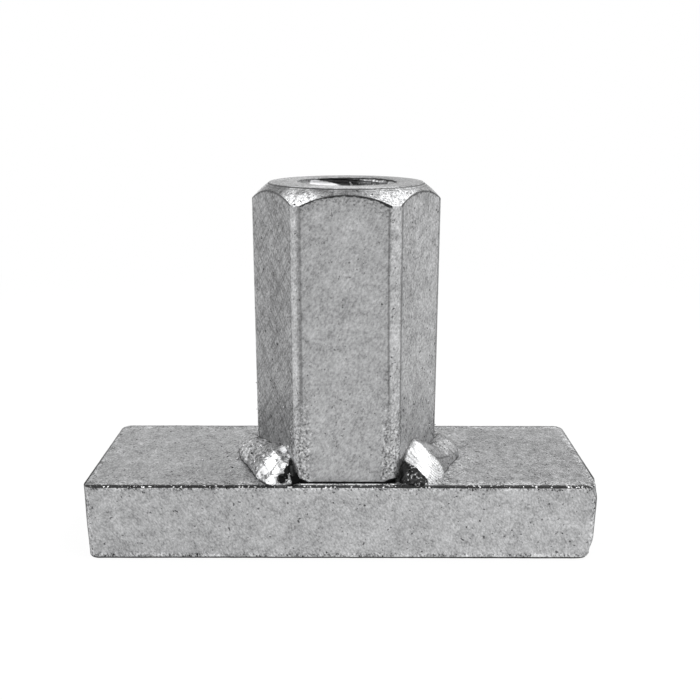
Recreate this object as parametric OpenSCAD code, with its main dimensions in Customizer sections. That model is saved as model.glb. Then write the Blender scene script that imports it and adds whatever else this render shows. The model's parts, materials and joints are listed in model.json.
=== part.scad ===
// A long hexagon nut that stands upright on a short flat bar, held by two weld beads.
// The thread's crests are left out here: the bore is the thread's inner cylinder.
// Millimetres. The origin is the middle of the bar's underside, X runs along the bar, Z is up,
// and the welded side of the nut faces -Y.

/* [Bar] */
// Length of the bar along X
bar_l = 52; // [44:1:90]
// Width of the bar along Y
bar_w = 18; // [17:0.5:30]
// Thickness of the bar
bar_t = 8; // [5:0.5:16]
// Radius of the bar's upright corners, rounded by the shear
bar_corner_r = 1.2; // [0.6:0.1:2.5]
// Radius of the break along the bar's long and short edges
bar_edge_r = 0.3; // [0.1:0.05:0.5]

/* [Nut] */
// Distance across the nut's flats
across_flats = 17; // [15:0.5:17]
// Height of the nut above the bar
nut_h = 29.3; // [12:0.1:60]
// Radius of the nut's upright corners
nut_corner_r = 1.2; // [0.4:0.1:2]
// How far the flat ring on the nut's top face stays inside the flats
land_inset = 0.7; // [0.2:0.1:1.5]
// Slope of the chamfer round the nut's top, down from the level
top_chamfer_angle = 42; // [25:1:55]
// How far outside the flats the chamfer turns steeper, towards the corners
shoulder_out = 0.5; // [0.2:0.1:1]
// Slope of the steeper part of the chamfer, down from the level
shoulder_angle = 60; // [56:1:75]
// How far outside the flats the small chamfer under the nut begins
foot_out = 0.8; // [0.2:0.1:1]
// Slope of the small chamfer under the nut, up from the level
foot_chamfer_angle = 45; // [25:1:55]
// How far the nut stands off the middle of the bar, towards +X
nut_shift_x = 0.5; // [-2:0.1:2]
// How far the nut stands off the middle of the bar, towards +Y
nut_shift_y = 0.4; // [0:0.1:0.5]

/* [Thread] */
// Nominal diameter of the thread
thread_d = 10; // [6:1:12]
// Pitch of the thread
thread_pitch = 1.5; // [1:0.25:2]
// How much wider than the thread the countersunk mouths are
mouth_extra = 0.2; // [0:0.1:1]
// Full angle of the countersinks
mouth_angle = 90; // [60:5:120]

/* [Weld] */
// Radius of the largest puddle of the left bead
left_puddle_r = 3.3; // [2:0.1:4]
// Radius of the largest puddle of the right bead
right_puddle_r = 3.5; // [2:0.1:4]
// How far the puddles' middles stand out from the nut's flat
puddle_out = 0.2; // [0:0.1:1]
// How far the puddles' middles lie below the bar's top face
puddle_sink = 0.5; // [0:0.1:1.2]

/* [Hidden] */
$fn = 96;

// Past every face that a cut runs through
past = 1;
// Height of the basic triangle of a metric thread, as a share of the pitch, that the bore stops short of
bore_share = 1.0825;
// The nut's six sides, and the angle between neighbouring corners
sides = 6;
corner_step = 360 / sides;

bore_d = thread_d - bore_share * thread_pitch;
mouth_d = thread_d + mouth_extra;
mouth_depth = (mouth_d - bore_d) / 2 / tan(mouth_angle / 2);
across_corners = across_flats / cos(corner_step / 2);
flat_mid = across_flats / 2 * [cos(corner_step / 2), -sin(corner_step / 2)];

// The puddles of a bead lie in an even row along the nut's flat, whose front corner is at -1 and whose
// side corner is at 1. Each list has the puddles' radii as shares of the largest, from the front.
bead_start_share = -0.55;
bead_end_share = 1.08;
left_puddle_shares = [0.92, 1, 0.94, 0.86, 0.8, 0.72];
right_puddle_shares = [0.88, 1, 0.96, 0.84, 0.76, 0.8];

// A rectangle about the origin whose corners are true arcs.
module rounded_rectangle(size, r) {
    square([size.x - 2 * r, size.y], center = true);
    square([size.x, size.y - 2 * r], center = true);
    for (x = [-1, 1], y = [-1, 1])
        translate([x * (size.x / 2 - r), y * (size.y / 2 - r)])
            circle(r);
}

// The bar: its plan, its side and its end are rounded outlines, and the bar is what all three share.
module flat_bar() {
    color("darkgray")
    intersection() {
        linear_extrude(bar_t)
            rounded_rectangle([bar_l, bar_w], bar_corner_r);
        translate([0, 0, bar_t / 2])
            rotate([90, 0, 0])
                linear_extrude(bar_w + 2 * past, center = true)
                    rounded_rectangle([bar_l, bar_t], bar_edge_r);
        translate([0, 0, bar_t / 2])
            rotate([90, 0, 90])
                linear_extrude(bar_l + 2 * past, center = true)
                    rounded_rectangle([bar_w, bar_t], bar_edge_r);
    }
}

// The outline of the drawn hexagon bar: straight flats that run into arcs at the six corners.
module hexagon_outline() {
    centre_r = (across_flats / 2 - nut_corner_r) / cos(corner_step / 2);
    polygon([
        for (k = [0 : sides - 1], side = [-1, 1])
            centre_r * [cos(k * corner_step), sin(k * corner_step)]
            + nut_corner_r * [cos((k + side / 2) * corner_step), sin((k + side / 2) * corner_step)]
    ]);
    for (k = [0 : sides - 1])
        rotate(k * corner_step)
            translate([centre_r, 0])
                circle(nut_corner_r);
}

// The turned blank: it takes the corners off the hexagon at the top and, slightly, at the foot.
module turned_blank() {
    outer_r = across_corners / 2 + past;
    land_r = across_flats / 2 - land_inset;
    shoulder_r = across_flats / 2 + shoulder_out;
    foot_r = across_flats / 2 + foot_out;
    shoulder_z = nut_h - (shoulder_r - land_r) * tan(top_chamfer_angle);
    rotate_extrude()
        polygon([
            [0, 0],
            [foot_r, 0],
            [outer_r, (outer_r - foot_r) * tan(foot_chamfer_angle)],
            [outer_r, shoulder_z - (outer_r - shoulder_r) * tan(shoulder_angle)],
            [shoulder_r, shoulder_z],
            [land_r, nut_h],
            [0, nut_h]
        ]);
}

// The bore with a countersink at each end.
module threaded_bore() {
    translate([0, 0, -past])
        cylinder(h = nut_h + 2 * past, d = bore_d);
    for (end = [0, 1])
        translate([0, 0, end * nut_h])
            mirror([0, 0, end])
                translate([0, 0, -past])
                    cylinder(
                        h = mouth_depth + past,
                        d1 = mouth_d + 2 * past * tan(mouth_angle / 2),
                        d2 = bore_d
                    );
}

module on_the_bar() {
    translate([nut_shift_x, nut_shift_y, bar_t])
        children();
}

module long_nut() {
    color("silver")
    on_the_bar()
        difference() {
            intersection() {
                linear_extrude(nut_h)
                    hexagon_outline();
                turned_blank();
            }
            threaded_bore();
        }
}

// A weld bead in the corner between a side flat of the nut and the bar: round puddles that run
// into each other. It ends at the nut's flats, and it stays on the level part of the bar's top face.
// Side is 0 for the bead on the right and 1 for its mirror image on the left.
module weld_bead(side, puddles, largest_r) {
    half_flat = across_flats / 2 * tan(corner_step / 2);
    first_place = bead_start_share * half_flat;
    place_step = (bead_end_share * half_flat - first_place) / (len(puddles) - 1);
    difference() {
        intersection() {
            on_the_bar()
                mirror([side, 0, 0])
                    translate([flat_mid.x, flat_mid.y, -puddle_sink])
                        rotate(-corner_step / 2)
                            for (k = [0 : len(puddles) - 1])
                                translate([puddle_out, first_place + k * place_step, 0])
                                    sphere(puddles[k] * largest_r);
            translate([0, 0, bar_t])
                linear_extrude(nut_h)
                    square([bar_l - 2 * bar_edge_r, bar_w - 2 * bar_edge_r], center = true);
        }
        on_the_bar()
            linear_extrude(nut_h)
                hexagon_outline();
    }
}

module weld_left() {
    color("gainsboro")
        weld_bead(1, left_puddle_shares, left_puddle_r);
}

module weld_right() {
    color("gainsboro")
        weld_bead(0, right_puddle_shares, right_puddle_r);
}

flat_bar();
long_nut();
weld_left();
weld_right();
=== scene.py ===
# %% [markdown]
# # A long nut welded to a crossbar
#
# The object is a small steel part. A long hexagon nut stands on a short piece of flat bar, and a weld bead
# in the corner at each side holds it. All of it is zinc plated after welding. The construction comes from
# the frame: it gives each piece's size and place, and this script gives them their true surfaces.

# %% Load the frame
import json
import math
import random

import bpy
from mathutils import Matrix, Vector


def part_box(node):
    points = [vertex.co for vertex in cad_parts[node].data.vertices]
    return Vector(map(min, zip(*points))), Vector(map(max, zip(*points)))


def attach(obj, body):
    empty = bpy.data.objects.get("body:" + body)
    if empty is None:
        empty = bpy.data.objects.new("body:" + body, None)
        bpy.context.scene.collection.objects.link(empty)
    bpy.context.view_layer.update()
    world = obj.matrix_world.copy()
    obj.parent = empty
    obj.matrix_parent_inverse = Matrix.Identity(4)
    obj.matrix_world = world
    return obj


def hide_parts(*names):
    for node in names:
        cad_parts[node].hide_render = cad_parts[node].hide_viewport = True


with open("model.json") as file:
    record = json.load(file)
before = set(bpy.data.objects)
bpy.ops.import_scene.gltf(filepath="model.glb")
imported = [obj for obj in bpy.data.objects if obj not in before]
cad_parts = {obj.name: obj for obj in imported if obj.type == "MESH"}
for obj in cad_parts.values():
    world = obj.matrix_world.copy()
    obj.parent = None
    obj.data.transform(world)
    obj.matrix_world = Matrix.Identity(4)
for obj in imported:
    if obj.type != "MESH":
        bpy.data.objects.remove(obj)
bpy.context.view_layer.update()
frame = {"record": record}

# %% [markdown]
# ## Working in millimetres
#
# Blender's tools have smallest steps and merge distances that suit things as large as furniture. A part of
# 52 mm is easier to model a thousand times larger, with one unit to the millimetre. Each finished piece is
# then scaled down once, and its place stays in its mesh.

# %% Sizes from the frame
MM = 0.001
bar_low, bar_high = (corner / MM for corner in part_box("flat_bar"))
nut_low, nut_high = (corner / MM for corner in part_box("long_nut"))
bar_top = bar_high.z
nut_top = nut_high.z
nut_axis = (nut_low + nut_high) / 2
across_flats = nut_high.y - nut_low.y
thread_mount = next(mount for mount in frame["record"]["mounts"] if mount["name"] == "thread")
bore_radius = thread_mount["dims"]["r_mm"]
print("nut", round(across_flats, 2), "mm across flats, axis at", round(nut_axis.x, 2), round(nut_axis.y, 2))
print("bore radius", bore_radius, "mm, bar top at", round(bar_top, 2), "mm")

# %% [markdown]
# ## Camera
#
# The camera's place, tilt and lens come from fitting the straight edges of the bar and the nut. A lens is
# easier to read off a photo in pixels: the focal length in pixels, shared out over the frame's width, gives
# millimetres on the sensor.

# %% Place the camera
FRAME_PIXELS = 700
FOCAL_PIXELS = 908.3
SENSOR_WIDTH = 36.0
CAMERA_PLACE = Vector((0.858, -92.824, 45.085))
CAMERA_TILT_DOWN = math.radians(15.30)
CAMERA_ROLL = math.radians(-0.08)

bpy.ops.object.camera_add(
    location=CAMERA_PLACE * MM,
    rotation=(math.radians(90) - CAMERA_TILT_DOWN, CAMERA_ROLL, 0),
)
camera = bpy.context.object
camera.data.sensor_width = SENSOR_WIDTH
camera.data.lens = FOCAL_PIXELS / FRAME_PIXELS * SENSOR_WIDTH
camera.data.clip_start = MM
bpy.context.scene.camera = camera
bpy.context.scene.view_settings.view_transform = "Standard"
print("lens", round(camera.data.lens, 2), "mm")

# %% [markdown]
# ## Shader arithmetic
#
# A procedural material is mostly sums. One small class wraps a socket, so that Python's own signs add the
# Math nodes, and one method makes every other node.

# %% A class for shader values
# The sockets of a Mix node that mixes colours. They share their names with other sockets of the node.
MIX_FACTOR, MIX_FIRST, MIX_SECOND, MIX_RESULT = 0, 6, 7, 2


class Value:
    """A socket in a node tree. Sums of values become Math nodes in the same tree."""

    def __init__(self, tree, socket):
        self.tree = tree
        self.socket = socket

    def node(self, kind, settings=None, inputs=None, output=0):
        """Add any node: settings first, then the values or links of its sockets. Return one output."""
        made = self.tree.nodes.new(kind)
        for name, setting in (settings or {}).items():
            setattr(made, name, setting)
        for name, given in (inputs or {}).items():
            if isinstance(given, Value):
                self.tree.links.new(given.socket, made.inputs[name])
            else:
                made.inputs[name].default_value = given
        return Value(self.tree, made.outputs[output])

    def maths(self, operation, *given):
        return self.node("ShaderNodeMath", {"operation": operation}, dict(enumerate(given)))

    def __add__(self, other):
        return self.maths("ADD", self, other)

    def __radd__(self, other):
        return self.maths("ADD", other, self)

    def __sub__(self, other):
        return self.maths("SUBTRACT", self, other)

    def __rsub__(self, other):
        return self.maths("SUBTRACT", other, self)

    def __neg__(self):
        return 0 - self

    def __mul__(self, other):
        return self.maths("MULTIPLY", self, other)

    def __rmul__(self, other):
        return self.maths("MULTIPLY", other, self)

    def __truediv__(self, other):
        return self.maths("DIVIDE", self, other)

    def __rtruediv__(self, other):
        return self.maths("DIVIDE", other, self)

    def larger(self, other):
        return self.maths("MAXIMUM", self, other)

    def smaller(self, other):
        return self.maths("MINIMUM", self, other)

    def size(self):
        return self.maths("ABSOLUTE", self)

    def root(self):
        return self.maths("SQRT", self)

    def sine(self):
        return self.maths("SINE", self)

    def ramp(self, start, end):
        """0 up to start, 1 from end on, and smooth between. Where end is the smaller, it falls instead."""
        low, high = min(start, end), max(start, end)
        rise = self.node(
            "ShaderNodeMapRange",
            {"interpolation_type": "SMOOTHSTEP"},
            {"Value": self, "From Min": low, "From Max": high},
        )
        return rise if start < end else 1 - rise

    def between(self, first, second):
        """The first number where this value is 0, the second where it is 1."""
        return first + (second - first) * self

    def blend(self, first, second):
        """The first colour where this value is 0, and the second where it is 1."""
        return self.node(
            "ShaderNodeMix",
            {"data_type": "RGBA"},
            {MIX_FACTOR: self, MIX_FIRST: first, MIX_SECOND: second},
            output=MIX_RESULT,
        )

    def drawn_out(self, stretch, turn=(0, 0, 0)):
        """A place on which a pattern comes out this many times longer along its own turned X, Y and Z."""
        return self.node(
            "ShaderNodeMapping",
            {"vector_type": "TEXTURE"},
            {"Vector": self, "Rotation": turn, "Scale": stretch},
        )

    def noise(self, spacing, detail=2.0, roughness=0.5):
        """Cloudy noise round 0, with features about this many millimetres apart."""
        cloudy = self.node(
            "ShaderNodeTexNoise",
            inputs={"Vector": self, "Scale": 1 / (spacing * MM), "Detail": detail, "Roughness": roughness},
        )
        return cloudy - 0.5

    def parts(self):
        """The X, Y and Z of a vector. Those of a place are in metres."""
        split = self.tree.nodes.new("ShaderNodeSeparateXYZ")
        self.tree.links.new(self.socket, split.inputs[0])
        return [Value(self.tree, socket) for socket in split.outputs]


print("shader values ready")

# %% [markdown]
# A new material comes with one Principled shader. What varies over a surface is joined to its sockets, and
# a number that is the same everywhere is set on the socket itself.

# %% Helpers for materials
def new_material(name):
    """A material with one Principled shader, and a value from which its other nodes can be made."""
    material = bpy.data.materials.new(name)
    material.use_nodes = True
    tree = material.node_tree
    shader = next(node for node in tree.nodes if node.type == "BSDF_PRINCIPLED")
    place = Value(tree, tree.nodes.new("ShaderNodeTexCoord").outputs["Object"])
    return material, shader, place


def connect(shader, **links):
    """Join values to the shader's sockets, whose names are written with underscores."""
    for name, value in links.items():
        value.tree.links.new(value.socket, shader.inputs[name.replace("_", " ")])


print("ready for materials")

# %% [markdown]
# ## Light and floor
#
# The part was shot on white. The world is white at the horizon and greyer overhead, most of all in front
# and on the left, so that upright faces of metal are bright and the faces that look up are calmer. A large
# lamp to each side, above and a little in front, lights the turned chamfer's corners, where painted
# highlights add to it, and one behind lights the left of the hole, which has a painted highlight too. Metal
# shows what is round it, so the same world is seen by the camera and by reflections. To both of them the
# paper floor is almost wholly a plain white glow. Near the part a little of the paper is mixed in, and with
# it the part's soft shadow.

# %% World
HORIZON_LEVEL = 1.0
ZENITH_LEVEL = 0.60
FRONT_SHARE = 0.60
LEFT_SHARE = 0.70
SHARES_FROM, SHARES_ABOVE = 0.10, 0.35
ZENITH_FROM, ZENITH_ABOVE = 0.1, 0.95
FRONT_FROM, FRONT_BEYOND = 0.55, 0.90
LEFT_FROM, LEFT_BEYOND = 0.1, 0.8
WHITE = (1, 1, 1, 1)

world = bpy.data.worlds.new("white_room")
bpy.context.scene.world = world
world.use_nodes = True
sky = world.node_tree
direction = Value(sky, sky.nodes.new("ShaderNodeTexCoord").outputs["Generated"])
to_right, to_back, height = direction.parts()
above_horizon = height.ramp(SHARES_FROM, SHARES_ABOVE)
in_front = above_horizon * (-to_back).ramp(FRONT_FROM, FRONT_BEYOND)
on_left = above_horizon * (-to_right).ramp(LEFT_FROM, LEFT_BEYOND)
level = height.ramp(ZENITH_FROM, ZENITH_ABOVE).between(HORIZON_LEVEL, ZENITH_LEVEL)
level = level * in_front.between(1, FRONT_SHARE) * on_left.between(1, LEFT_SHARE)
background = next(node for node in sky.nodes if node.type == "BACKGROUND")
sky.links.new(level.socket, background.inputs["Strength"])
background.inputs["Color"].default_value = WHITE
print("world from", ZENITH_LEVEL, "overhead to", HORIZON_LEVEL, "at the horizon")

# %% Lamps
LAMP_AIM = Vector((0, 0, 20))


def soft_lamp(name, place, side, power):
    """A square lamp that faces the object."""
    bpy.ops.object.light_add(type="AREA", location=place * MM)
    lamp = bpy.context.object
    lamp.name = name
    lamp.data.shape = "SQUARE"
    lamp.data.size = side * MM
    lamp.data.energy = power
    lamp.rotation_euler = (LAMP_AIM - place).to_track_quat("-Z", "Y").to_euler()


soft_lamp("lamp_left", Vector((-230, -90, 300)), side=260, power=0.95)
soft_lamp("lamp_right", Vector((230, -90, 300)), side=260, power=0.50)
soft_lamp("lamp_back", Vector((230, 140, 370)), side=280, power=0.90)

# %% Floor
FLOOR_RADIUS = 900
FLOOR_DROP = 0.02
NEAR, FAR = 60, 170
NEAR_GLOW = 0.92
PAPER_TONE = (0.86, 0.86, 0.86, 1)
PAPER_ROUGHNESS = 0.9

bpy.ops.mesh.primitive_circle_add(
    vertices=96, radius=FLOOR_RADIUS * MM, fill_type="NGON", location=(0, 0, -FLOOR_DROP * MM)
)
floor = bpy.context.object
floor.name = "floor"
bpy.ops.object.transform_apply(location=True, rotation=True, scale=True)
paper, paper_shader, place = new_material("white_paper")
paper_shader.inputs["Base Color"].default_value = PAPER_TONE
paper_shader.inputs["Roughness"].default_value = PAPER_ROUGHNESS
distance = place.node("ShaderNodeVectorMath", {"operation": "LENGTH"}, {0: place}, output="Value")
rays = paper.node_tree.nodes.new("ShaderNodeLightPath").outputs
seen = Value(paper.node_tree, rays["Is Camera Ray"])
for other in ("Is Glossy Ray", "Is Transmission Ray"):
    seen = seen.larger(Value(paper.node_tree, rays[other]))
glow = place.node("ShaderNodeEmission", inputs={"Color": WHITE, "Strength": 1.0})
mixed = place.node(
    "ShaderNodeMixShader",
    inputs={
        0: seen * distance.ramp(NEAR * MM, FAR * MM).between(NEAR_GLOW, 1),
        1: Value(paper.node_tree, paper_shader.outputs["BSDF"]),
        2: glow,
    },
)
paper_end = next(node for node in paper.node_tree.nodes if node.type == "OUTPUT_MATERIAL")
paper.node_tree.links.new(mixed.socket, paper_end.inputs["Surface"])
floor.data.materials.append(paper)
print("floor of", 2 * FLOOR_RADIUS, "mm across")

# %% [markdown]
# ## Tools of the bench
#
# A few helpers do what a hand does in the window: take one piece, pick some of its edges, write its place
# into its mesh. An operator acts on everything that is selected, so a helper that picks first clears the
# selection.

# %% Helpers for selecting
def take(piece):
    """Leave edit mode, select this piece alone and make it the active one."""
    if bpy.context.mode != "OBJECT":
        bpy.ops.object.mode_set(mode="OBJECT")
    bpy.ops.object.select_all(action="DESELECT")
    piece.select_set(True)
    bpy.context.view_layer.objects.active = piece


def settle():
    """Write the selected object's place, turn and scale into its mesh."""
    bpy.ops.object.transform_apply(location=True, rotation=True, scale=True)


def just_added(name):
    """Name the object that was just added, and write its place, turn and scale into its mesh."""
    piece = bpy.context.object
    piece.name = name
    settle()
    return piece


def edit_all():
    """Go into edit mode with the whole piece selected."""
    bpy.ops.object.mode_set(mode="EDIT")
    bpy.ops.mesh.select_all(action="SELECT")


def leave_edit_mode():
    bpy.ops.object.mode_set(mode="OBJECT")


def pick(piece, kind, wanted):
    """Go into edit mode with only those corners, edges or faces selected whose points pass the test."""
    take(piece)
    bpy.ops.object.mode_set(mode="EDIT")
    bpy.ops.mesh.select_mode(type=kind)
    bpy.ops.mesh.select_all(action="DESELECT")
    leave_edit_mode()
    mesh = piece.data
    if kind == "VERT":
        for corner in mesh.vertices:
            corner.select = wanted([corner.co])
    else:
        for part in mesh.edges if kind == "EDGE" else mesh.polygons:
            part.select = wanted([mesh.vertices[index].co for index in part.vertices])
    bpy.ops.object.mode_set(mode="EDIT")


def measure(piece):
    """A line on a piece's size, in the units that it is in."""
    spans = [max(c[k] for c in piece.bound_box) - min(c[k] for c in piece.bound_box) for k in range(3)]
    return f"{piece.name}: {[round(span, 3) for span in spans]}, {len(piece.data.polygons)} faces"


print("bench ready")

# %% [markdown]
# ## The nut
#
# A real nut of this kind starts as drawn hexagon bar, whose six upright corners are slightly round. It is
# sawn to length, chucked in a lathe and turned at the end, which leaves a round chamfer that meets each
# flat in an arc. The same three steps are used here, because they give the arcs by themselves: a six-sided
# prism with bevelled corners, and then what it shares with a turned blank. The corners are not equally
# round: in the photo the two front ones are rounder than the two at the sides.

# %% Drawn hexagon bar
SIDES = 6
half_step = math.pi / SIDES
across_corners = across_flats / math.cos(half_step)
nut_height = nut_top - bar_top
CORNER_STEPS = 10
NEARLY = 0.01
corner_radii = {"front left": 1.5, "front right": 1.5, "the other": 1.2}


def which_corner(point):
    """Say which of the prism's upright corners a point lies on."""
    if point.y > nut_axis.y - across_flats / 4:
        return "the other"
    return "front left" if point.x < nut_axis.x else "front right"


def hexagon_prism(name, shrink, low, high):
    """A prism with the nut's six sides, each moved in by shrink, and sharp corners."""
    bpy.ops.object.select_all(action="DESELECT")
    bpy.ops.mesh.primitive_cylinder_add(
        vertices=SIDES,
        radius=across_corners / 2 - shrink / math.cos(half_step),
        depth=high - low,
        location=(nut_axis.x, nut_axis.y, (low + high) / 2),
        rotation=(0, 0, half_step),
    )
    return just_added(name)


nut = hexagon_prism("nut_body", 0, bar_top, nut_top)
for corner_name, corner_radius in corner_radii.items():
    pick(
        nut,
        "EDGE",
        lambda points: abs(points[0].z - points[1].z) > nut_height / 2
        and which_corner(points[0]) == corner_name
        and (points[0] - nut_axis).xy.length > across_corners / 2 - NEARLY,
    )
    bpy.ops.mesh.bevel(
        offset=corner_radius * math.tan(half_step), segments=CORNER_STEPS, profile=0.5, affect="EDGES"
    )
    leave_edit_mode()
print(measure(nut))

# %% [markdown]
# Turned work is drawn as half its outline and spun round the axis. Where a spun shape closes, corners lie
# on each other, so they are merged, and all faces are turned outwards. One piece is cut with another by the
# Boolean modifier.

# %% Helpers for turning and cutting
MERGE_WITHIN = 0.002


def change(piece, kind, **settings):
    """Add a modifier with these settings and apply it."""
    take(piece)
    modifier = piece.modifiers.new(kind.lower(), kind)
    for name, setting in settings.items():
        setattr(modifier, name, setting)
    bpy.ops.object.modifier_apply(modifier=modifier.name)


def cut(piece, tool, operation="DIFFERENCE"):
    """Cut a piece with a tool, or keep only what they share, and put the tool away."""
    change(piece, "BOOLEAN", operation=operation, solver="EXACT", object=tool)
    bpy.data.objects.remove(tool, do_unlink=True)


def tidy_mesh(piece):
    """Merge corners that lie on each other, and turn all faces outwards."""
    take(piece)
    edit_all()
    bpy.ops.mesh.remove_doubles(threshold=MERGE_WITHIN)
    bpy.ops.mesh.normals_make_consistent(inside=False)
    leave_edit_mode()


def draw_profile(name, points):
    """Draw a chain of edges through (radius, height) points, in the plane of X and Z."""
    bpy.ops.object.select_all(action="DESELECT")
    first_radius, first_height = points[0]
    bpy.ops.mesh.primitive_plane_add(size=1, location=(first_radius, 0, first_height))
    profile = just_added(name)
    bpy.ops.object.mode_set(mode="EDIT")
    bpy.ops.mesh.select_mode(type="VERT")
    bpy.ops.mesh.select_all(action="SELECT")
    bpy.ops.mesh.merge(type="CENTER")
    for (radius, level), (next_radius, next_level) in zip(points, points[1:]):
        step = (next_radius - radius, 0, next_level - level)
        bpy.ops.mesh.extrude_vertices_move(TRANSFORM_OT_translate={"value": step})
    leave_edit_mode()
    return profile


def move_to(piece, x, y, z=0.0):
    """Shift a piece, and leave its origin at the world's."""
    take(piece)
    piece.location = (x, y, z)
    settle()


def turn_on_lathe(name, points, steps):
    """Spin a profile round the nut's axis into a closed solid."""
    piece = draw_profile(name, points)
    edit_all()
    bpy.ops.mesh.spin(steps=steps, angle=math.tau, center=(0, 0, 0), axis=(0, 0, 1))
    leave_edit_mode()
    tidy_mesh(piece)
    move_to(piece, nut_axis.x, nut_axis.y)
    return piece


print("lathe ready")

# %% [markdown]
# The turned chamfer is a shallow curve, and one formula gives how far it has dropped at each radius. The
# material reads the same formula later, to find where the turned surface ends. Outside the chamfer, each
# step of the rim is steeper than the one before: it has a slope in degrees and a height. Edges on real
# metal are never perfectly sharp, so the profiles of the blank and of the countersinks have a narrow break
# where they meet the end face.

# %% Chamfer from a turned blank
CROWN_DROP, CROWN_SLOPE, CROWN_CURVE = 0.56, 0.84, 0.15
LAND_INSET = 0.69
CROWN_REACH = 1.03
CROWN_POINTS = 8
CROWN_RIM = ((70, 0.15), (79, 0.35), (84, 3.0))
LATHE_STEPS = 144
FOOT_OUT = 0.85
FOOT_SLOPE = math.radians(58)
foot_radius = across_flats / 2 + FOOT_OUT


def crown_drop(beyond):
    """How far the chamfer lies below the top, this far outside the flats."""
    return CROWN_DROP + beyond * CROWN_SLOPE + beyond * beyond * CROWN_CURVE


EDGE_BREAK = 0.06
crown = [
    (across_flats / 2 - LAND_INSET - EDGE_BREAK, nut_top),
    (across_flats / 2 - LAND_INSET, nut_top - EDGE_BREAK / 4),
]
for k in range(1, CROWN_POINTS + 1):
    beyond = -LAND_INSET + (LAND_INSET + CROWN_REACH) * k / CROWN_POINTS
    crown.append((across_flats / 2 + beyond, nut_top - crown_drop(beyond)))
for slope, step_down in CROWN_RIM:
    radius, level = crown[-1]
    crown.append((radius + step_down / math.tan(math.radians(slope)), level - step_down))
outer_radius = crown[-1][0]
foot_rise = (outer_radius - foot_radius) * math.tan(FOOT_SLOPE)
blank_profile = [
    (0, bar_top),
    (foot_radius, bar_top),
    (outer_radius, bar_top + foot_rise),
    *reversed(crown),
    (0, nut_top),
]
blank = turn_on_lathe("turned_blank", blank_profile, LATHE_STEPS)
cut(nut, blank, "INTERSECT")
print(measure(nut))

# %% [markdown]
# The bore is drilled right through and countersunk from both ends. The upper countersink sits a little off
# the axis, as one made by hand does: the ring round the hole is wider on the left.

# %% Bore and countersinks
MOUTH_RADIUS = 4.88
MOUTH_SHIFT = 0.3
CONE_TIP = 1
OVERRUN = 1.0
BORE_STEPS = 96


def countersink(name, z, upward):
    """A cone that opens to the mouth's radius at this height, upwards (1) or downwards (-1)."""
    cone_profile = [
        (0, z - upward * (MOUTH_RADIUS - CONE_TIP)),
        (CONE_TIP, z - upward * (MOUTH_RADIUS - CONE_TIP)),
        (MOUTH_RADIUS - EDGE_BREAK, z - upward * EDGE_BREAK),
        (MOUTH_RADIUS + EDGE_BREAK, z),
        (MOUTH_RADIUS + OVERRUN, z + upward * OVERRUN / 2),
        (0, z + upward * OVERRUN / 2),
    ]
    return turn_on_lathe(name, cone_profile, BORE_STEPS)


drill_profile = [
    (0, bar_top - OVERRUN),
    (bore_radius, bar_top - OVERRUN),
    (bore_radius, nut_top + OVERRUN),
    (0, nut_top + OVERRUN),
]
cut(nut, turn_on_lathe("drill", drill_profile, BORE_STEPS))
cut(nut, countersink("lower_countersink", bar_top, -1))
upper_countersink = countersink("upper_countersink", nut_top, 1)
move_to(upper_countersink, MOUTH_SHIFT, 0)
cut(nut, upper_countersink)
print(measure(nut))

# %% [markdown]
# ## The thread
#
# A metric thread's groove is a 60 degree vee with a narrow flat at its root. A tap is made the way that a
# screw is drawn: one pitch of the profile is swept up a helix by the Screw modifier, and its two ends are
# closed. The tap's teeth reach inside the bore, so that the cut leaves clean crests.

# %% Tap the bore
PITCH = 1.5
THREAD_RADIUS = 5.0
REACH_IN = 0.25
STEPS_PER_TURN = 48
FLANK_ANGLE = math.radians(30)
ROOT_SHARE = 1 / 8
TURNS_BELOW, TURNS_MORE = 2, 3
root_half = PITCH * ROOT_SHARE / 2
inner_radius = bore_radius - REACH_IN
inner_half = root_half + (THREAD_RADIUS - inner_radius) * math.tan(FLANK_ANGLE)
turns = math.ceil(nut_height / PITCH) + TURNS_MORE
tap_profile = [
    (inner_radius, -inner_half),
    (THREAD_RADIUS, -root_half),
    (THREAD_RADIUS, root_half),
    (inner_radius, inner_half),
    (inner_radius, PITCH - inner_half),
]
tap = draw_profile("tap", tap_profile)
change(
    tap,
    "SCREW",
    angle=math.tau,
    screw_offset=PITCH,
    iterations=turns,
    steps=STEPS_PER_TURN,
    render_steps=STEPS_PER_TURN,
)
tidy_mesh(tap)
bpy.ops.object.mode_set(mode="EDIT")
bpy.ops.mesh.select_all(action="DESELECT")
bpy.ops.mesh.select_mode(type="EDGE")
bpy.ops.mesh.select_non_manifold(
    use_wire=False, use_multi_face=False, use_non_contiguous=False, use_verts=False
)
bpy.ops.mesh.extrude_region_move(TRANSFORM_OT_translate={"value": (0, 0, 0)})
bpy.ops.mesh.merge(type="COLLAPSE")
leave_edit_mode()
tidy_mesh(tap)
move_to(tap, nut_axis.x, nut_axis.y, bar_top - TURNS_BELOW * PITCH)
cut(nut, tap)
tidy_mesh(nut)
print(measure(nut))

# %% [markdown]
# ## Handing a piece over
#
# A finished piece is scaled down to metres, shaded smooth except at its real edges, given its material and
# hung under the root body, and the construction's node that it stands for, if any, is hidden.

# %% Helper that finishes a piece
def hand_over(piece, material, node=None, crease=30):
    """Finish a piece. Faces that meet at more than the crease's angle, in degrees, keep a sharp edge."""
    take(piece)
    piece.scale = (MM, MM, MM)
    settle()
    bpy.ops.object.shade_smooth_by_angle(angle=math.radians(crease))
    piece.data.materials.clear()
    piece.data.materials.append(material)
    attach(piece, "root")
    if node:
        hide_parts(node)
    print(measure(piece))


print("ready to hand over")

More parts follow.
